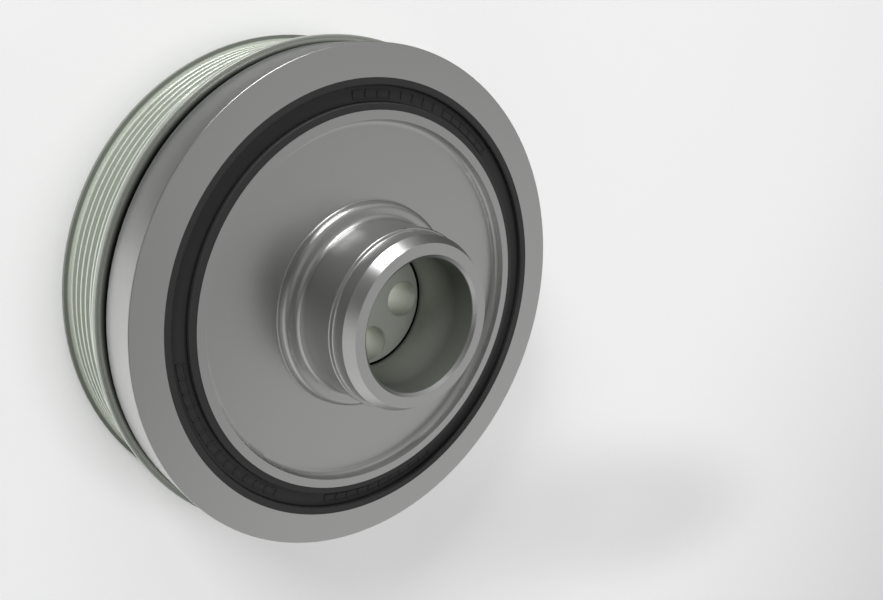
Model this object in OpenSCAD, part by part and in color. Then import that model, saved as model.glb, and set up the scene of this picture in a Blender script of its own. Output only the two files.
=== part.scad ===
// Harmonic balancer for a crankshaft: a turned hub with a sealing nose, a rubber ring bonded
// round it, an inertia ring bonded round the rubber, and a ribbed belt pulley behind them.
// Z is the crankshaft axis. The pulley's rear edge lies on Z = 0 and the nose points up.

/* [Inertia ring] */
// Outside diameter of the inertia ring
ring_d = 146; // [140:0.5:149]
// Radial width of the inertia ring
ring_w = 9; // [7:0.25:11]
// Thickness of the inertia ring, front face to rear face
ring_t = 14; // [11:0.5:18]
// Edge rounding of the inertia ring
ring_edge_r = 0.3; // [0.2:0.05:0.8]

/* [Rubber ring] */
// Radial width of the rubber between hub and inertia ring
rubber_w = 8.5; // [7:0.25:10]
// Width of the flat band left on each side of the channel in the rubber's face
rubber_band_w = 2; // [1:0.25:2.5]
// Depth of the channel in the rubber's face
channel_depth = 1.8; // [1:0.1:4]
// Rounding of the channel's edges and floor corners
channel_r = 0.4; // [0.2:0.05:0.5]

/* [Hub rim and web] */
// Width of the hub's flat rim land next to the rubber
rim_land_w = 2.5; // [1.5:0.25:4]
// Height of the rim land above the inertia ring's face
rim_proud = 0.2; // [0.1:0.1:1]
// Depth of the recessed web plate below the rim land
recess_depth = 3.2; // [2:0.1:4]
// Fillet at the foot of the recess wall
recess_r = 1.7; // [0.5:0.1:1.9]
// Thickness of the web plate
web_t = 7.6; // [5:0.2:8]
// Radial thickness of the hub's rim behind the web
rim_t = 4.5; // [3:0.25:7]

/* [Nose] */
// Radial width of the low step round the nose's foot
step_w = 4.75; // [4.2:0.05:7]
// Height of that step above the web plate
step_h = 3.2; // [2.5:0.1:4]
// Fillet between web plate and step
step_foot_r = 0.4; // [0.2:0.1:0.9]
// Rounding of the step's upper edge
step_edge_r = 2; // [0.5:0.1:2.4]
// Diameter of the oil seal surface
seal_d = 51.5; // [50.5:0.25:54]
// Length of the oil seal surface, from the step's face
seal_len = 14.4; // [12:0.1:18]
// Fillet at the foot of the oil seal surface
seal_foot_r = 1.7; // [0.4:0.1:2.2]
// Radial step from the seal surface down to the nose's tip
tip_step = 1.05; // [1:0.05:2]
// Length of the straight part of the tip
tip_len = 4.4; // [3:0.1:7]
// Rounding of both edges of the shoulder between seal surface and tip
shoulder_r = 0.5; // [0.1:0.05:0.5]
// Length of the lead-in chamfer along the axis
lead_in_len = 3.15; // [1.5:0.05:5]
// Radial size of the lead-in chamfer
lead_in_w = 1.8; // [1:0.1:3]

/* [Bore and bolting floor] */
// Diameter of the bore that pilots on the crankshaft
bore_d = 37.6; // [37:0.1:39]
// Depth of the bore from the nose's end to the bolting floor
bore_depth = 23.35; // [18:0.05:26]
// Chamfer at the bore's mouth
mouth_c = 1; // [0.5:0.1:1.5]
// Width of the relief groove round the bolting floor
relief_w = 0.9; // [0.5:0.05:1.2]
// Depth of the relief groove below the bolting floor
relief_depth = 2; // [1:0.1:3]
// Height of the tapered lip at the bore's lower end, above the bolting floor
lip_h = 2.4; // [1:0.1:4]
// Radial size of the tapered lip
lip_w = 0.25; // [0.1:0.05:0.4]
// Number of crankshaft bolts
bolt_count = 4; // [3:1:4]
// Diameter of the crankshaft bolt circle
bolt_circle_d = 23.6; // [22.8:0.2:24.2]
// Diameter of each bolt hole
bolt_hole_d = 10.5; // [8:0.25:11]
// Chamfer at both ends of each bolt hole
bolt_hole_c = 0.3; // [0.1:0.05:0.4]

/* [Belt pulley] */
// Overall width of the pulley
pulley_w = 25.2; // [25:0.2:32]
// Width of the front flange's rim, next to the inertia ring
front_flange_w = 2.1; // [1:0.1:2.2]
// Width of the rear flange's rim
rear_flange_w = 1.6; // [0.8:0.1:1.7]
// Axial run of each flange's sloping flank
flank_run = 0.4; // [0.2:0.05:0.45]
// Rounding of the flanges' outer edges
flange_edge_r = 0.3; // [0.1:0.05:0.35]
// Diameter over the ribs between the grooves
rib_d = 146.6; // [145:0.2:148]
// Height of the two flanges above the ribs
flange_h = 1.7; // [1:0.1:4]
// Number of belt grooves
groove_count = 5; // [3:1:5]
// Pitch of the belt grooves
groove_pitch = 3.56; // [3:0.02:3.6]
// Angle between the two flanks of a groove
groove_angle = 40; // [36:1:44]
// Width of the flat on top of each rib
crest_flat = 0.15; // [0.05:0.05:0.3]
// Rounding of the rib crests
crest_r = 0.4; // [0.25:0.05:0.5]
// Rounding of the groove roots
root_r = 0.4; // [0.25:0.05:0.5]
// Distance from the pulley's front face to the middle of the first groove
first_groove = 6.5; // [6.4:0.05:7]
// Radial thickness of the rim below the groove roots
rim_wall = 4.5; // [3:0.25:7]
// Thickness of the pulley's web
pulley_web_t = 5; // [4:0.25:8]
// Fillet between the pulley's web and rim, inside
pulley_fillet_r = 3; // [1:0.25:5]
// Chamfer on the rear inner edge of the pulley's rim
rear_edge_c = 0.8; // [0.3:0.1:1.5]

/* [Pulley seat] */
// Clear gap between the inertia ring and the pulley
ring_gap = 2.4; // [1.5:0.1:4]
// Diameter of the spigot that the pulley is pressed on
spigot_d = 52; // [48:0.5:60]
// Diameter of the hub's shoulder that the pulley's web seats on
seat_d = 80; // [70:1:90]
// How far the spigot's end stands out of the pulley's web
spigot_proud = 1; // [0.4:0.1:3]
// Chamfer at the spigot's end
spigot_c = 0.5; // [0.2:0.1:1]

/* [Hidden] */
$fn = 144;
// Faces of the small roundings in a section
fine_fn = 48;
// How far a cutter runs past the face it cuts
over = 1;
// How far a rounding's sliver laps past the corner
lap = 0.05;

// Radii, from the outside inwards
ring_r = ring_d / 2;
ring_bore_r = ring_r - ring_w;
rim_r = ring_bore_r - rubber_w;
recess_wall_r = rim_r - rim_land_w;
rim_inner_r = rim_r - rim_t;
seat_r = seat_d / 2;
spigot_r = spigot_d / 2;
seal_r = seal_d / 2;
step_r = seal_r + step_w;
tip_r = seal_r - tip_step;
bore_r = bore_d / 2;
lip_r = bore_r - lip_w;
relief_r = lip_r - relief_w;

// Heights along the axis, from the pulley's rear edge upwards
spigot_z = pulley_w - pulley_web_t - spigot_proud;
ring_z = pulley_w + ring_gap;
face_z = ring_z + ring_t;
rim_z = face_z + rim_proud;
plate_z = rim_z - recess_depth;
web_z = plate_z - web_t;
step_z = plate_z + step_h;
seal_z = step_z + seal_len;
tip_z = seal_z + tip_len;
end_z = tip_z + lead_in_len;
floor_z = end_z - bore_depth;

// Belt profile: each groove's two straight flanks run into a rounding at the root and at the
// crest on each side, measured from the middle of the groove
flank_angle = groove_angle / 2;
rib_r = rib_d / 2;
crest_centre_r = rib_r - crest_r;
crest_centre_z = (groove_pitch - crest_flat) / 2;
crest_tangent_r = crest_centre_r + crest_r * sin(flank_angle);
crest_tangent_z = crest_centre_z - crest_r * cos(flank_angle);
root_apex_r = crest_tangent_r - crest_tangent_z / tan(flank_angle);
root_centre_r = root_apex_r + root_r / sin(flank_angle);
root_tangent_r = root_centre_r - root_r * sin(flank_angle);
root_tangent_z = root_r * cos(flank_angle);
rim_bore_r = root_centre_r - root_r - rim_wall;
flange_r = rib_r + flange_h;
first_groove_z = pulley_w - first_groove;

// The sliver between a square corner and the rounding that replaces it. It is cut from an
// outer corner and added to an inner one, and laps a little past both edges of the corner.
// "into" gives the quadrant that the sliver lies in.
module corner(at, into, radius) {
    start = at - lap * into;
    centre = at + radius * into;
    difference() {
        translate([min(start.x, centre.x), min(start.y, centre.y)])
            square(radius + lap);
        translate(centre)
            circle(r = radius, $fn = fine_fn);
    }
}

// Half section of the hub, with radius along X and height along Y
module hub_section() {
    difference() {
        union() {
            polygon([
                [0, spigot_z],
                [spigot_r - spigot_c, spigot_z],
                [spigot_r, spigot_z + spigot_c],
                [spigot_r, pulley_w],
                [seat_r, pulley_w],
                [seat_r, web_z],
                [rim_inner_r, web_z],
                [rim_inner_r, ring_z],
                [rim_r, ring_z],
                [rim_r, rim_z],
                [recess_wall_r, rim_z],
                [recess_wall_r, plate_z],
                [step_r, plate_z],
                [step_r, step_z],
                [seal_r, step_z],
                [seal_r, seal_z],
                [tip_r, seal_z],
                [tip_r, tip_z],
                [tip_r - lead_in_w, end_z],
                [bore_r + mouth_c, end_z],
                [bore_r, end_z - mouth_c],
                [bore_r, floor_z + lip_h],
                [lip_r, floor_z],
                [lip_r, floor_z - relief_depth],
                [relief_r, floor_z - relief_depth],
                [relief_r, floor_z],
                [0, floor_z]
            ]);
            corner([recess_wall_r, plate_z], [-1, 1], recess_r);
            corner([step_r, plate_z], [1, 1], step_foot_r);
            corner([seal_r, step_z], [1, 1], seal_foot_r);
            corner([tip_r, seal_z], [1, 1], shoulder_r);
        }
        corner([step_r, step_z], [-1, -1], step_edge_r);
        corner([seal_r, seal_z], [-1, -1], shoulder_r);
    }
}

// One crankshaft bolt hole, chamfered where it leaves the floor and the spigot's end
module bolt_hole() {
    hole_r = bolt_hole_d / 2;
    mouth_r = hole_r + bolt_hole_c;
    translate([bolt_circle_d / 2, 0, 0]) {
        translate([0, 0, spigot_z - over])
            cylinder(r = hole_r, h = floor_z - spigot_z + 2 * over);
        translate([0, 0, floor_z - bolt_hole_c])
            cylinder(r1 = hole_r, r2 = mouth_r + over, h = bolt_hole_c + over);
        translate([0, 0, spigot_z - over])
            cylinder(r1 = mouth_r + over, r2 = hole_r, h = bolt_hole_c + over);
    }
}

// Turned hub: nose, bolting floor, stepped boss, web plate, rim and the pulley's spigot
module hub() {
    color("silver")
        difference() {
            rotate_extrude()
                hub_section();
            for (i = [0 : bolt_count - 1])
                rotate([0, 0, i * 360 / bolt_count])
                    bolt_hole();
        }
}

// Rubber ring, bonded to the hub's rim and the inertia ring's bore, with a channel in its face
module rubber_ring() {
    channel_in_r = rim_r + rubber_band_w;
    channel_out_r = ring_bore_r - rubber_band_w;
    channel_z = face_z - channel_depth;
    color([0.16, 0.16, 0.16])
        rotate_extrude()
            difference() {
                union() {
                    difference() {
                        translate([rim_r, ring_z])
                            square([rubber_w, ring_t]);
                        translate([channel_in_r, channel_z])
                            square([channel_out_r - channel_in_r, channel_depth + over]);
                    }
                    corner([channel_in_r, channel_z], [1, 1], channel_r);
                    corner([channel_out_r, channel_z], [-1, 1], channel_r);
                }
                corner([channel_in_r, face_z], [-1, -1], channel_r);
                corner([channel_out_r, face_z], [1, -1], channel_r);
            }
}

// Inertia ring, a plain rectangular section with its outer edges broken
module inertia_ring() {
    color([0.6, 0.6, 0.6])
        rotate_extrude()
            difference() {
                translate([ring_bore_r, ring_z])
                    square([ring_w, ring_t]);
                corner([ring_r, face_z], [-1, -1], ring_edge_r);
                corner([ring_r, ring_z], [-1, 1], ring_edge_r);
            }
}

// What the turning tool takes out for one belt groove, about the middle of the groove
module groove_section() {
    polygon([
        [root_tangent_r, -root_tangent_z],
        [crest_tangent_r, -crest_tangent_z],
        [crest_tangent_r, crest_tangent_z],
        [root_tangent_r, root_tangent_z]
    ]);
    translate([root_centre_r, 0])
        circle(r = root_r, $fn = fine_fn);
    difference() {
        translate([crest_tangent_r, -crest_centre_z])
            square([rib_r + over - crest_tangent_r, 2 * crest_centre_z]);
        for (side = [-1, 1])
            translate([crest_centre_r, side * crest_centre_z])
                circle(r = crest_r, $fn = fine_fn);
    }
}

// Half section of the pulley: belt face, two flanges and the web that seats on the hub
module pulley_section() {
    web_rear_z = pulley_w - pulley_web_t;
    fillet_centre = [rim_bore_r, web_rear_z] - pulley_fillet_r * [1, 1];
    difference() {
        polygon([
            [spigot_r, pulley_w],
            [flange_r, pulley_w],
            [flange_r, pulley_w - front_flange_w],
            [rib_r, pulley_w - front_flange_w - flank_run],
            [rib_r, rear_flange_w + flank_run],
            [flange_r, rear_flange_w],
            [flange_r, 0],
            [rim_bore_r + rear_edge_c, 0],
            [rim_bore_r, rear_edge_c],
            [rim_bore_r, fillet_centre.y],
            [fillet_centre.x, web_rear_z],
            [spigot_r, web_rear_z]
        ]);
        translate(fillet_centre)
            circle(r = pulley_fillet_r);
        for (i = [0 : groove_count - 1])
            translate([0, first_groove_z - i * groove_pitch])
                groove_section();
        corner([flange_r, pulley_w], [-1, -1], flange_edge_r);
        corner([flange_r, 0], [-1, 1], flange_edge_r);
    }
}

// Belt pulley, pressed on the hub's spigot against its shoulder
module pulley() {
    color([0.58, 0.62, 0.58])
        rotate_extrude()
            pulley_section();
}

hub();
rubber_ring();
inertia_ring();
pulley();
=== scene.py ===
"""Harmonic balancer on a pale floor: the finish of its turned hub, rubber ring, inertia ring
and belt pulley, seen from the nose's side. Lengths are in metres unless a name says otherwise."""

import math

import bpy
from mathutils import Matrix, Vector


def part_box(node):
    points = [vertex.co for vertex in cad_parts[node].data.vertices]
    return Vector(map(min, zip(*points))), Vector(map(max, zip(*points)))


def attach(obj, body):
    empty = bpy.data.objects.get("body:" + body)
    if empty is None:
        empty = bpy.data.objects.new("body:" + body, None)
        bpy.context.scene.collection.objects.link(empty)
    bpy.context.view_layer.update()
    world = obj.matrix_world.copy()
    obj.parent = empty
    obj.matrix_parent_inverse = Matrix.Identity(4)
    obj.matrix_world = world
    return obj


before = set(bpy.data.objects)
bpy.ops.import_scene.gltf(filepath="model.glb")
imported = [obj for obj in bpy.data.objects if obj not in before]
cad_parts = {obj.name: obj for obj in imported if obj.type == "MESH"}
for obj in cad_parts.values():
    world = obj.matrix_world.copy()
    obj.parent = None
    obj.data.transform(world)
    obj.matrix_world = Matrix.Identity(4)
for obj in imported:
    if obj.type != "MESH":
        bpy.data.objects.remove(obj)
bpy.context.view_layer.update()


# Camera. It looks at the middle of the inertia ring's face, 41 degrees off the crankshaft axis,
# and is rolled until the nose points to the right and a little down in the picture.
MM = 0.001
AXIS_TILT = math.radians(41.0)
AXIS_ROLL = math.radians(21.3)
# Turns seen in the picture count from its right; the bolt hole on +X lies at this one
HOLE_TURN = math.radians(10.3)
FACE_CENTRE = Vector((0.01, -1.98, -233.7)) * MM
PICTURE_W = 883
FOCAL_PX = 809.7
CENTRE_PX = 373.5
SENSOR_MM = 36

_, ring_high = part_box("inertia_ring")
face_z = ring_high.z

nose_dir = Vector((
    math.sin(AXIS_TILT) * math.cos(AXIS_ROLL),
    -math.sin(AXIS_TILT) * math.sin(AXIS_ROLL),
    math.cos(AXIS_TILT),
))
right_dir = Vector((0, 1, 0)).cross(nose_dir).normalized()
up_dir = nose_dir.cross(right_dir)
x_dir = right_dir * math.cos(HOLE_TURN) + up_dir * math.sin(HOLE_TURN)
y_dir = nose_dir.cross(x_dir)
# Rows of this matrix are the part's axes as the camera sees them, so it turns camera to part
camera_turn = Matrix((x_dir, y_dir, nose_dir))
camera_at = Vector((0, 0, face_z)) - camera_turn @ FACE_CENTRE

camera_data = bpy.data.cameras.new("camera")
camera_data.sensor_width = SENSOR_MM
camera_data.lens = FOCAL_PX * SENSOR_MM / PICTURE_W
camera_data.shift_x = (PICTURE_W / 2 - CENTRE_PX) / PICTURE_W
camera_data.clip_start = 0.01
camera = bpy.data.objects.new("camera", camera_data)
camera.matrix_world = Matrix.Translation(camera_at) @ camera_turn.to_4x4()
bpy.context.scene.collection.objects.link(camera)
bpy.context.scene.camera = camera
bpy.context.scene.view_settings.view_transform = "Standard"


# Floor. A wide plain sheet of matt, near-white studio paper under the pulley's rear edge, with
# a little light of its own, so that it stays pale while the part's shadow still falls.
FLOOR_SIZE = 6
FLOOR_COLOUR = "fdfdfd"
# Its tone makes up for the lamps' falloff: it changes along this turn, between these distances
FALL_TURN = math.radians(145)
FALL_START, FALL_END = -0.25, 0.1
FALL_COLOUR = "e7e7e7"
# A painted shade, soft and long, lies on it to the lower right of the part, past the part's own
# shadow
SHADE_PLACE = Vector((0.23, -0.125, 0))
SHADE_TURN = math.radians(-8)
SHADE_REACH = (0.2, 0.06, 1)
SHADE_FULL_AT = 0.8
SHADE_DEPTH = 0.2
SHADE_COLOUR = "000000"


def linear(hex_colour):
    """An sRGB hex colour such as 8f8f8f as linear red, green, blue and alpha."""
    channels = [int(hex_colour[i:i + 2], 16) / 255 for i in (0, 2, 4)]
    return [c / 12.92 if c <= 0.04045 else ((c + 0.055) / 1.055) ** 2.4 for c in channels] + [1]


def add_node(tree, kind, settings={}, inputs={}, **links):
    """Adds a node, sets its settings and input values, and links sockets into its inputs. A
    link's name is the input's name with _ for a space, or i and the input's number."""
    node = tree.nodes.new(kind)
    for name, value in settings.items():
        setattr(node, name, value)
    for name, value in inputs.items():
        node.inputs[name].default_value = value
    for name, socket in links.items():
        key = int(name[1:]) if name[0] == "i" and name[1:].isdigit() else name.replace("_", " ")
        tree.links.new(socket, node.inputs[key])
    return node


def new_material(name):
    """An empty material and its node tree."""
    material = bpy.data.materials.new(name)
    material.use_nodes = True
    material.node_tree.nodes.clear()
    return material, material.node_tree


def paint(obj, material):
    """Gives an object that one material."""
    obj.data.materials.clear()
    obj.data.materials.append(material)


floor_mesh = bpy.data.meshes.new("floor")
half = FLOOR_SIZE / 2
corners = [(-half, -half, 0), (half, -half, 0), (half, half, 0), (-half, half, 0)]
floor_mesh.from_pydata(corners, [], [(0, 1, 2, 3)])
floor = bpy.data.objects.new("floor", floor_mesh)
bpy.context.scene.collection.objects.link(floor)

# Matt paper scatters the light evenly: the eye sees one pale ground and no gloss on it
floor_paint, tree = new_material("matt studio floor")
place = add_node(tree, "ShaderNodeTexCoord")
fall_turn = FALL_TURN - HOLE_TURN
across = add_node(
    tree, "ShaderNodeVectorMath", {"operation": "DOT_PRODUCT"},
    {1: (math.cos(fall_turn), math.sin(fall_turn), 0)}, i0=place.outputs["Object"])
fall = add_node(
    tree, "ShaderNodeMapRange", inputs={"From Min": FALL_START, "From Max": FALL_END},
    Value=across.outputs["Value"])
tone = add_node(
    tree, "ShaderNodeMix", {"data_type": "RGBA"},
    {6: linear(FLOOR_COLOUR), 7: linear(FALL_COLOUR)}, Factor=fall.outputs[0])
shade_place = add_node(
    tree, "ShaderNodeMapping", {"vector_type": "TEXTURE"}, {
        "Location": Matrix.Rotation(-HOLE_TURN, 3, "Z") @ SHADE_PLACE,
        "Rotation": (0, 0, SHADE_TURN - HOLE_TURN),
        "Scale": SHADE_REACH},
    Vector=place.outputs["Object"])
shade = add_node(
    tree, "ShaderNodeTexGradient", {"gradient_type": "SPHERICAL"}, Vector=shade_place.outputs[0])
shade_part = add_node(
    tree, "ShaderNodeMapRange", {"interpolation_type": "SMOOTHSTEP"},
    {"From Max": SHADE_FULL_AT, "To Max": SHADE_DEPTH}, Value=shade.outputs["Fac"])
tone = add_node(
    tree, "ShaderNodeMix", {"data_type": "RGBA"}, {7: linear(SHADE_COLOUR)},
    Factor=shade_part.outputs[0], i6=tone.outputs[2])
paper = add_node(
    tree, "ShaderNodeBsdfPrincipled", inputs={
        "Roughness": 0.9,
        "Emission Color": linear("ffffff"),
        "Emission Strength": 0.1},
    Base_Color=tone.outputs[2])
add_node(tree, "ShaderNodeOutputMaterial", Surface=paper.outputs[0])
paint(floor, floor_paint)


# Studio light. The surrounding is dim with five soft bright patches, and a soft box stands above.
# Two lamps that metal doesn't mirror throw the floor's shadow and fill the nose, and a small one
# lies inside the pulley and lights the bolt holes from behind.
SURROUNDING = 0.12
# Each patch: its direction as the camera sees it, the cosines where it starts and is full, and
# its strength
PATCHES = (
    ((0.88, -0.45, -0.15), 0.7, 1.0, 0.38),
    ((-0.62, -0.72, 0.30), 0.45, 1.0, 0.5),
    ((0.62, 0.25, 0.74), 0.6, 1.0, 0.2),
    ((0.62, 0.75, 0.10), 0.7, 1.0, 0.26),
    ((0.20, -0.95, 0.10), 0.7, 1.0, 0.18),
)
CAVITY_LAMP_SIZE = 0.07
CAVITY_LAMP_POWER = 0.018
CAVITY_LAMP_Z_MM = 2


def seen(direction):
    """A direction given as the camera sees it, right, up and towards it, in the part's frame."""
    return (camera_turn @ Vector(direction)).normalized()


def lamp(name, direction, distance, size, power, mirrored=True):
    """A rectangular soft lamp that faces the middle of the ring's face, from a direction as the
    camera sees it."""
    data = bpy.data.lights.new(name, "AREA")
    data.shape = "RECTANGLE"
    data.size, data.size_y = size
    data.energy = power
    light = bpy.data.objects.new(name, data)
    towards = seen(direction)
    light.location = Vector((0, 0, face_z)) + towards * distance
    light.rotation_euler = towards.to_track_quat("Z", "Y").to_euler()
    light.visible_glossy = mirrored
    bpy.context.scene.collection.objects.link(light)


world = bpy.data.worlds.new("studio")
world.use_nodes = True
bpy.context.scene.world = world
tree = world.node_tree
tree.nodes.clear()
looking = add_node(tree, "ShaderNodeTexCoord")
level = None
for direction, start, full, strength in PATCHES:
    towards = add_node(
        tree, "ShaderNodeVectorMath", {"operation": "DOT_PRODUCT"}, {1: seen(direction)},
        i0=looking.outputs["Generated"])
    patch = add_node(
        tree, "ShaderNodeMapRange", {"interpolation_type": "SMOOTHSTEP"},
        {"From Min": start, "From Max": full, "To Max": strength}, Value=towards.outputs["Value"])
    if level is None:
        level = add_node(tree, "ShaderNodeMath", inputs={1: SURROUNDING}, i0=patch.outputs[0])
    else:
        level = add_node(tree, "ShaderNodeMath", i0=level.outputs[0], i1=patch.outputs[0])
sky = add_node(tree, "ShaderNodeBackground", Color=level.outputs[0])
add_node(tree, "ShaderNodeOutputWorld", Surface=sky.outputs[0])

lamp("top soft box", direction=(-0.04, 0.9, 0.35), distance=1.5, size=(0.75, 1.0), power=18)
lamp("shadow lamp", direction=(-0.2, 0.54, 0.82), distance=1.2, size=(0.4, 0.4), power=10,
     mirrored=False)
lamp("nose lamp", direction=(0.7, -0.15, 0.7), distance=1.2, size=(0.5, 0.5), power=4,
     mirrored=False)

cavity_data = bpy.data.lights.new("cavity lamp", "AREA")
cavity_data.size = CAVITY_LAMP_SIZE
cavity_data.energy = CAVITY_LAMP_POWER
cavity_lamp = bpy.data.objects.new("cavity lamp", cavity_data)
cavity_lamp.location = (0, 0, CAVITY_LAMP_Z_MM * MM)
cavity_lamp.rotation_euler = (math.pi, 0, 0)
cavity_lamp.visible_camera = False
bpy.context.scene.collection.objects.link(cavity_lamp)


# Grey card. A sheet of matt card lies flat round the upper side of the part, where metal alone
# mirrors it. It is darkest to the upper right, which shades the nose's chamfer, paler to the
# upper left, which shades the ring's outside, and fades to the floor's white at both ends.
CARD_Z_MM = 1
CARD_STEP = 5
# Its tones, each at a turn in degrees as seen in the picture
CARD_TONES = ((-40, "f2f2f2"), (-15, "484848"), (100, "484848"), (140, "545454"),
              (160, "747474"), (185, "e0e0e0"), (200, "f2f2f2"))
# Its inner edge leaves the floor next to the pulley clear, so that the grooves stay bright.
# Between these turns on the upper left it comes closer, to shade the ring's outside
CARD_INNER_MM, CARD_OUTER_MM = 90, 700
CARD_CLOSER_MM = 4
CARD_CLOSER_START, CARD_CLOSER_END = 75, 175
# How far past the card's last end the turn jumps back, in radians
CARD_WRAP = 0.1

card_start, card_end = CARD_TONES[0][0], CARD_TONES[-1][0]
card_turns = range(card_start, card_end + 1, CARD_STEP)
verts = []
for turn in card_turns:
    angle = math.radians(turn) - HOLE_TURN
    closer_mm = CARD_CLOSER_MM if CARD_CLOSER_START < turn < CARD_CLOSER_END else 0
    for r in (CARD_INNER_MM - closer_mm, CARD_OUTER_MM):
        verts.append((r * math.cos(angle) * MM, r * math.sin(angle) * MM, CARD_Z_MM * MM))
card_mesh = bpy.data.meshes.new("grey_card")
card_mesh.from_pydata(
    verts, [], [(2 * i, 2 * i + 1, 2 * i + 3, 2 * i + 2) for i in range(len(card_turns) - 1)])
card = bpy.data.objects.new("grey_card", card_mesh)
bpy.context.scene.collection.objects.link(card)
card.visible_camera = card.visible_diffuse = card.visible_shadow = False

# Matt card gives no mirror image of its own: the eye sees it only as dark bands in the metal
card_paint, tree = new_material("matt grey card")
place = add_node(tree, "ShaderNodeTexCoord")
parts = add_node(tree, "ShaderNodeSeparateXYZ", i0=place.outputs["Object"])
turn = add_node(
    tree, "ShaderNodeMath", {"operation": "ARCTAN2"},
    i0=parts.outputs["Y"], i1=parts.outputs["X"]).outputs[0]
# The turn jumps back by a whole one just past the card's last end, and so never on the card
first_turn = math.radians(card_start) - HOLE_TURN
last_turn = math.radians(card_end) - HOLE_TURN
wrap_turn = last_turn + CARD_WRAP
turn = add_node(
    tree, "ShaderNodeMath", {"operation": "WRAP"},
    {1: wrap_turn, 2: wrap_turn - 2 * math.pi}, i0=turn).outputs[0]
part_way = add_node(
    tree, "ShaderNodeMapRange", inputs={"From Min": first_turn, "From Max": last_turn},
    Value=turn).outputs[0]
ramp = add_node(tree, "ShaderNodeValToRGB", Fac=part_way)
tones = ramp.color_ramp.elements
while len(tones) < len(CARD_TONES):
    tones.new(0.5)
for element, (degrees, tone) in zip(tones, CARD_TONES):
    element.position = (degrees - card_start) / (card_end - card_start)
    element.color = linear(tone)
card_face = add_node(tree, "ShaderNodeBsdfDiffuse", Color=ramp.outputs[0])
add_node(tree, "ShaderNodeOutputMaterial", Surface=card_face.outputs[0])
paint(card, card_paint)


# Hub. One piece of turned steel that four bolts clamp to the crankshaft. Its front is bright. The
# bore, bolting floor and back keep a green-grey phosphate coat, with painted shade near the nose's
# tip and painted light farther in, and painted shade in the relief groove round the floor.
STEEL_COLOUR = "cdcdcc"
STEEL_ROUGHNESS = 0.3
STEEL_METALLIC = 1
# The coat's tones: with painted shade at the bore's mouth, and with painted light deep in the bore
COAT_SHADED_COLOUR = "676a63"
COAT_LIT_COLOUR = "d2d5cd"
HUB_COAT_ROUGHNESS = 0.45
HUB_COAT_METALLIC = 0.5
# Painted shade, for the relief groove here and for the pulley's face in the gap at the ring
PAINTED_SHADE_COLOUR = "1a1b19"
# A lathe's feed marks are about 0.1 mm apart; they are drawn coarser, so that they show
HUB_MARKS_MM = 0.3
HUB_MARKS_DEEP_MM = 0.004


def turned_place(tree):
    """Distance from the crankshaft axis and height along it in mm, the direction round it, and
    the place itself in mm."""
    place = add_node(tree, "ShaderNodeTexCoord")
    in_mm = add_node(
        tree, "ShaderNodeVectorMath", {"operation": "SCALE"}, {"Scale": 1 / MM},
        i0=place.outputs["Object"])
    parts = add_node(tree, "ShaderNodeSeparateXYZ", i0=in_mm.outputs[0])
    flat = add_node(tree, "ShaderNodeCombineXYZ", X=parts.outputs["X"], Y=parts.outputs["Y"])
    radius = add_node(tree, "ShaderNodeVectorMath", {"operation": "LENGTH"}, i0=flat.outputs[0])
    around = add_node(tree, "ShaderNodeVectorMath", {"operation": "NORMALIZE"}, i0=flat.outputs[0])
    return radius.outputs["Value"], parts.outputs["Z"], around.outputs[0], in_mm.outputs[0]


def tool_marks(tree, radius, height, around, pitch_mm):
    """Fine grooves round the axis as a height from 0 to 1, fading in and out round the turn."""
    rings = add_node(tree, "ShaderNodeCombineXYZ", X=radius, Y=height)
    rings = add_node(
        tree, "ShaderNodeVectorMath", {"operation": "SCALE"}, {"Scale": 1 / pitch_mm},
        i0=rings.outputs[0])
    rings = add_node(
        tree, "ShaderNodeVectorMath", {"operation": "ADD"}, i0=rings.outputs[0], i1=around)
    return add_node(
        tree, "ShaderNodeTexNoise", inputs={"Scale": 1, "Detail": 2}, Vector=rings.outputs[0]
    ).outputs[0]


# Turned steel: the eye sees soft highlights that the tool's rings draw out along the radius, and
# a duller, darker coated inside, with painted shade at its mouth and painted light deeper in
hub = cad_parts["hub"]
steel, tree = new_material("turned steel")
radius, height, around, _ = turned_place(tree)
marks = tool_marks(tree, radius, height, around, HUB_MARKS_MM)
bump = add_node(
    tree, "ShaderNodeBump", inputs={"Strength": 0.5, "Distance": HUB_MARKS_DEEP_MM * MM},
    Height=marks)
# Each zone of the finish and of its painted light and shade, none at its first radius or height in
# mm and whole at its second
zone = {}
for name, measure, none_at, whole_at in (
    ("bore", radius, 19.0, 18.9),
    ("back", height, 36.5, 36),
    ("coat's painted shade", height, 41, 56),
    ("relief's radius", radius, 17.5, 17.6),
    ("relief's depth", height, 40.3, 40.2),
):
    zone[name] = add_node(
        tree, "ShaderNodeMapRange", inputs={"From Min": none_at, "From Max": whole_at},
        Value=measure).outputs[0]
coated = add_node(
    tree, "ShaderNodeMath", {"operation": "MAXIMUM"}, i0=zone["bore"], i1=zone["back"]).outputs[0]
relief_painted_shade = add_node(
    tree, "ShaderNodeMath", {"operation": "MULTIPLY"},
    i0=zone["relief's radius"], i1=zone["relief's depth"]).outputs[0]
# The coat's painted light deep in the bore fades to its painted shade at the mouth
coat_tone = add_node(
    tree, "ShaderNodeMix", {"data_type": "RGBA"},
    {6: linear(COAT_LIT_COLOUR), 7: linear(COAT_SHADED_COLOUR)}, Factor=zone["coat's painted shade"])
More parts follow.
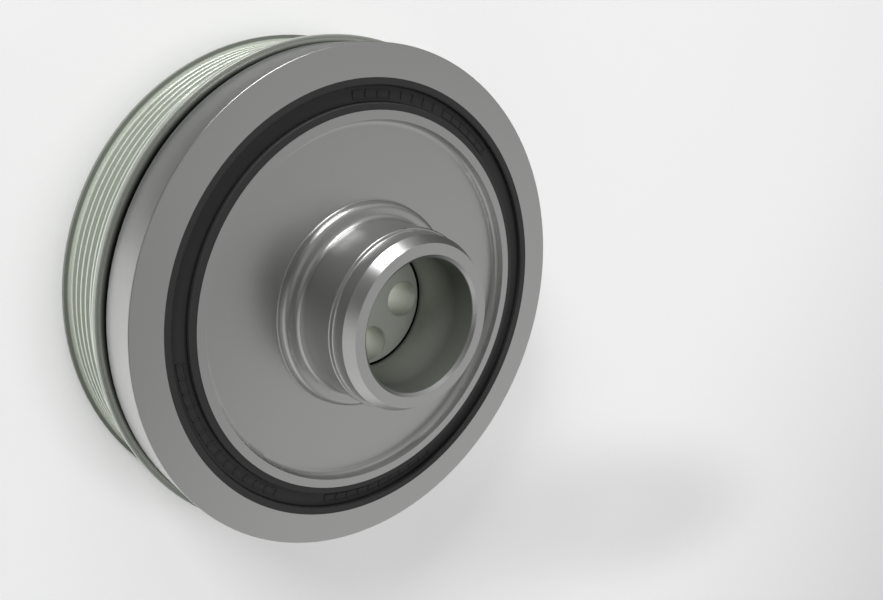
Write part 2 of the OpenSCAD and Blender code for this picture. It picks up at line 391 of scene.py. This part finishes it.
# Painted shade in the relief groove
coat_tone = add_node(
    tree, "ShaderNodeMix", {"data_type": "RGBA"}, {7: linear(PAINTED_SHADE_COLOUR)},
    Factor=relief_painted_shade, i6=coat_tone.outputs[2])
tone = add_node(
    tree, "ShaderNodeMix", {"data_type": "RGBA"}, {6: linear(STEEL_COLOUR)},
    Factor=coated, i7=coat_tone.outputs[2])
roughness = add_node(
    tree, "ShaderNodeMapRange",
    inputs={"To Min": STEEL_ROUGHNESS, "To Max": HUB_COAT_ROUGHNESS}, Value=coated)
metallic = add_node(
    tree, "ShaderNodeMapRange",
    inputs={"To Min": STEEL_METALLIC, "To Max": HUB_COAT_METALLIC}, Value=coated)
tangent = add_node(tree, "ShaderNodeTangent", {"direction_type": "RADIAL", "axis": "Z"})
shader = add_node(
    tree, "ShaderNodeBsdfPrincipled", inputs={"Anisotropic": 0.3, "Anisotropic Rotation": 0.25},
    Base_Color=tone.outputs[2], Metallic=metallic.outputs[0], Roughness=roughness.outputs[0],
    Normal=bump.outputs[0], Tangent=tangent.outputs[0])
add_node(tree, "ShaderNodeOutputMaterial", Surface=shader.outputs[0])
paint(hub, steel)


# Rubber ring. Black rubber, moulded and bonded between the hub and the inertia ring, with a
# shallow channel in its face whose corners carry painted shade.
CHANNEL_R_MM = 59.75
CHANNEL_W_MM = 4.5
CHANNEL_FLOOR_Z_MM = 39.8
RUBBER_COLOUR = "2b2b2b"
CORNER_SHADE_COLOUR = "0a0a0a"
# The painted shade is none at the first distance from the channel's wall or floor, whole at the
# second
CORNER_FROM_WALL_MM = (0.5, 0.1)
CORNER_FROM_FLOOR_MM = (0.8, 0.3)
RUBBER_ROUGHNESS = (0.5, 0.65)
# A moulded skin's grain is finer than this; it is drawn coarser, so that it shows
GRAINS_PER_MM = 4
GRAIN_DEEP_MM = 0.02
# Nearly all values of a noise lie between these
NOISE_LOW, NOISE_HIGH = 0.3, 0.7

# Moulded rubber: the eye sees a dull dark skin with a soft sheen that breaks up in the grain, and
# a channel that looks deep through painted shade in its corners
rubber_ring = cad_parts["rubber_ring"]
rubber, tree = new_material("moulded rubber")
radius, height, _, in_mm = turned_place(tree)
grain = add_node(
    tree, "ShaderNodeTexNoise", inputs={"Scale": GRAINS_PER_MM, "Detail": 3}, Vector=in_mm
).outputs[0]
bump = add_node(
    tree, "ShaderNodeBump", inputs={"Strength": 0.4, "Distance": GRAIN_DEEP_MM * MM},
    Height=grain)
from_middle = add_node(
    tree, "ShaderNodeMath", {"operation": "SUBTRACT"}, {1: CHANNEL_R_MM}, i0=radius).outputs[0]
from_middle = add_node(
    tree, "ShaderNodeMath", {"operation": "ABSOLUTE"}, i0=from_middle).outputs[0]
zone = {}
for name, measure, (none_at, whole_at) in (
    ("by the wall", from_middle, [CHANNEL_W_MM / 2 - mm for mm in CORNER_FROM_WALL_MM]),
    ("by the floor", height, [CHANNEL_FLOOR_Z_MM + mm for mm in CORNER_FROM_FLOOR_MM]),
):
    zone[name] = add_node(
        tree, "ShaderNodeMapRange", inputs={"From Min": none_at, "From Max": whole_at},
        Value=measure).outputs[0]
# Painted shade in the channel's corners
corner_painted_shade = add_node(
    tree, "ShaderNodeMath", {"operation": "MULTIPLY"},
    i0=zone["by the wall"], i1=zone["by the floor"])
tone = add_node(
    tree, "ShaderNodeMix", {"data_type": "RGBA"},
    {6: linear(RUBBER_COLOUR), 7: linear(CORNER_SHADE_COLOUR)}, Factor=corner_painted_shade.outputs[0])
roughness = add_node(
    tree, "ShaderNodeMapRange", inputs={
        "From Min": NOISE_LOW, "From Max": NOISE_HIGH,
        "To Min": RUBBER_ROUGHNESS[0], "To Max": RUBBER_ROUGHNESS[1]},
    Value=grain)
shader = add_node(
    tree, "ShaderNodeBsdfPrincipled", Base_Color=tone.outputs[2],
    Roughness=roughness.outputs[0], Normal=bump.outputs[0])
add_node(tree, "ShaderNodeOutputMaterial", Surface=shader.outputs[0])
paint(rubber_ring, rubber)


# Ladder. Thin raised lines, moulded in one with the rubber on the channel's floor, in five runs:
# rungs across the channel, and in all runs but one two rails along it.
LADDER_R_MM = 59.7
LADDER_W_MM = 2.2
LADDER_LINE_MM = 0.28
LADDER_RISE_MM = 0.25
RUNG_STEP = 4
# Each run: its first and last angle in degrees round the axis from the bolt hole on +X, and
# whether it has rails
LADDER_RUNS = (
    (44, 64, True), (68, 80, False), (84, 96, True), (184, 236, True), (254, 294, True))
# The six faces of a box whose corners run up in height, then outwards, then round the axis
BOX_FACES = ((0, 1, 3, 2), (4, 6, 7, 5), (0, 4, 5, 1), (2, 3, 7, 6), (1, 5, 7, 3), (0, 2, 6, 4))

verts, faces = [], []


def moulded_line(r0, r1, a0, a1):
    """Adds one raised line between two radii in mm and two angles in degrees, as boxes of about
    a degree each."""
    steps = max(1, round(abs(a1 - a0)))
    for k in range(steps):
        start = len(verts)
        for angle in (a0 + (a1 - a0) * k / steps, a0 + (a1 - a0) * (k + 1) / steps):
            turn = math.radians(angle)
            for r in (r0, r1):
                x, y = r * math.cos(turn) * MM, r * math.sin(turn) * MM
                for z in (-LADDER_RISE_MM, LADDER_RISE_MM):
                    verts.append((x, y, (CHANNEL_FLOOR_Z_MM + z) * MM))
        for face in BOX_FACES:
            faces.append([start + i for i in face])


inner = LADDER_R_MM - LADDER_W_MM / 2
outer = LADDER_R_MM + LADDER_W_MM / 2
half_line = math.degrees(LADDER_LINE_MM / LADDER_R_MM) / 2
for start, end, rails in LADDER_RUNS:
    for angle in range(start, end + 1, RUNG_STEP):
        moulded_line(inner, outer, angle - half_line, angle + half_line)
    if rails:
        moulded_line(inner, inner + LADDER_LINE_MM, start, end)
        moulded_line(outer - LADDER_LINE_MM, outer, start, end)
ladder_mesh = bpy.data.meshes.new("moulded_ladder")
ladder_mesh.from_pydata(verts, [], faces)
ladder = bpy.data.objects.new("moulded_ladder", ladder_mesh)
bpy.context.scene.collection.objects.link(ladder)
paint(ladder, rubber)
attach(ladder, "root")


# Inertia ring. A plain heavy ring of iron, turned all over and held by the rubber alone, with
# slightly coarser tool marks than the hub's.
IRON_COLOUR = "d2d2d1"
IRON_ROUGHNESS = 0.33
RING_MARKS_MM = 0.4
RING_MARKS_DEEP_MM = 0.006

# Turned iron: the eye sees an even satin band with soft highlights drawn out along the radius
inertia_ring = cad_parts["inertia_ring"]
iron, tree = new_material("turned iron")
radius, height, around, _ = turned_place(tree)
marks = tool_marks(tree, radius, height, around, RING_MARKS_MM)
bump = add_node(
    tree, "ShaderNodeBump", inputs={"Strength": 0.5, "Distance": RING_MARKS_DEEP_MM * MM},
    Height=marks)
tangent = add_node(tree, "ShaderNodeTangent", {"direction_type": "RADIAL", "axis": "Z"})
shader = add_node(
    tree, "ShaderNodeBsdfPrincipled", inputs={
        "Base Color": linear(IRON_COLOUR), "Metallic": 1, "Roughness": IRON_ROUGHNESS,
        "Anisotropic": 0.3, "Anisotropic Rotation": 0.25},
    Normal=bump.outputs[0], Tangent=tangent.outputs[0])
add_node(tree, "ShaderNodeOutputMaterial", Surface=shader.outputs[0])
paint(inertia_ring, iron)


# Belt pulley. Turned steel behind the ring, seated on the hub's spigot, with five grooves for a
# ribbed belt between two flanges. A green-grey zinc phosphate coat covers it. The belt has rubbed
# the crests and lands smooth, and they are painted pale as light; the flanges' rims carry painted
# shade and the front one a painted highlight at its rear edge, and painted shade darkens the face
# in the gap at the ring.
COAT_COLOUR = "c0c7bb"
# Crests and lands, rubbed by the belt and painted pale as light
RUBBED_AND_LIT_COLOUR = "e2e9dc"
# Painted shade on the flanges' rims, deeper on the rear one
REAR_RIM_SHADE_COLOUR = "868b82"
FRONT_RIM_SHADE_COLOUR = "b2b7ae"
# A painted highlight along the front flange's rim at its rear edge
EDGE_HIGHLIGHT_COLOUR = "eef3ea"
PULLEY_MARKS_MM = 0.5
# Phosphate crystals are under 0.05 mm; they are drawn coarser, so that they show
CRYSTALS_PER_MM = 6
COAT_DEEP_MM = 0.01
COAT_ROUGHNESS = (0.34, 0.46)
RUBBED_ROUGHNESS = 0.22
COAT_METALLIC = 0.6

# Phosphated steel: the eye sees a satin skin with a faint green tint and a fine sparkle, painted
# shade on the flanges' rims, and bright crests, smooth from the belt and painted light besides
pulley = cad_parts["pulley"]
phosphate, tree = new_material("phosphated steel")
radius, height, around, in_mm = turned_place(tree)
marks = tool_marks(tree, radius, height, around, PULLEY_MARKS_MM)
crystals = add_node(
    tree, "ShaderNodeTexNoise", inputs={"Scale": CRYSTALS_PER_MM, "Detail": 2}, Vector=in_mm
).outputs[0]
zone = {}
for name, measure, none_at, whole_at in (
    ("crest", radius, 73.1, 73.2),
    ("rim", radius, 73.8, 74.1),
    ("front rim", height, 12, 13),
    ("edge highlight's start", height, 23.0, 23.1),
    ("edge highlight's end", height, 23.9, 23.4),
    ("inside the rim", radius, 74.6, 72.4),
    ("front face", height, 24.6, 24.9),
):
    zone[name] = add_node(
        tree, "ShaderNodeMapRange", inputs={"From Min": none_at, "From Max": whole_at},
        Value=measure).outputs[0]
# Painted highlight on the front flange's rim
painted_edge_highlight = add_node(
    tree, "ShaderNodeMath", {"operation": "MULTIPLY"},
    i0=zone["edge highlight's start"], i1=zone["edge highlight's end"]).outputs[0]
# Painted shade on the front face in the gap at the ring
gap_painted_shade = add_node(
    tree, "ShaderNodeMath", {"operation": "MULTIPLY"},
    i0=zone["inside the rim"], i1=zone["front face"]).outputs[0]
# Painted shade on the rims
rim_shade_and_highlight = add_node(
    tree, "ShaderNodeMix", {"data_type": "RGBA"},
    {6: linear(REAR_RIM_SHADE_COLOUR), 7: linear(FRONT_RIM_SHADE_COLOUR)}, Factor=zone["front rim"])
rim_shade_and_highlight = add_node(
    tree, "ShaderNodeMix", {"data_type": "RGBA"}, {7: linear(EDGE_HIGHLIGHT_COLOUR)},
    Factor=painted_edge_highlight, i6=rim_shade_and_highlight.outputs[2])
# Painted light on the crests and lands
tone = add_node(
    tree, "ShaderNodeMix", {"data_type": "RGBA"},
    {6: linear(COAT_COLOUR), 7: linear(RUBBED_AND_LIT_COLOUR)}, Factor=zone["crest"])
tone = add_node(
    tree, "ShaderNodeMix", {"data_type": "RGBA"},
    Factor=zone["rim"], i6=tone.outputs[2], i7=rim_shade_and_highlight.outputs[2])
tone = add_node(
    tree, "ShaderNodeMix", {"data_type": "RGBA"}, {7: linear(PAINTED_SHADE_COLOUR)},
    Factor=gap_painted_shade, i6=tone.outputs[2])
rubbed_smooth = add_node(
    tree, "ShaderNodeMath", {"operation": "SUBTRACT"}, i0=zone["crest"], i1=zone["rim"])
roughness = add_node(
    tree, "ShaderNodeMapRange", inputs={
        "From Min": NOISE_LOW, "From Max": NOISE_HIGH,
        "To Min": COAT_ROUGHNESS[0], "To Max": COAT_ROUGHNESS[1]},
    Value=crystals)
roughness = add_node(
    tree, "ShaderNodeMix", inputs={3: RUBBED_ROUGHNESS},
    Factor=rubbed_smooth.outputs[0], i2=roughness.outputs[0])
skin = add_node(tree, "ShaderNodeMath", {"operation": "MULTIPLY"}, i0=marks, i1=crystals)
bump = add_node(
    tree, "ShaderNodeBump", inputs={"Strength": 0.5, "Distance": COAT_DEEP_MM * MM},
    Height=skin.outputs[0])
shader = add_node(
    tree, "ShaderNodeBsdfPrincipled", inputs={"Metallic": COAT_METALLIC},
    Base_Color=tone.outputs[2], Roughness=roughness.outputs[0], Normal=bump.outputs[0])
add_node(tree, "ShaderNodeOutputMaterial", Surface=shader.outputs[0])
paint(pulley, phosphate)
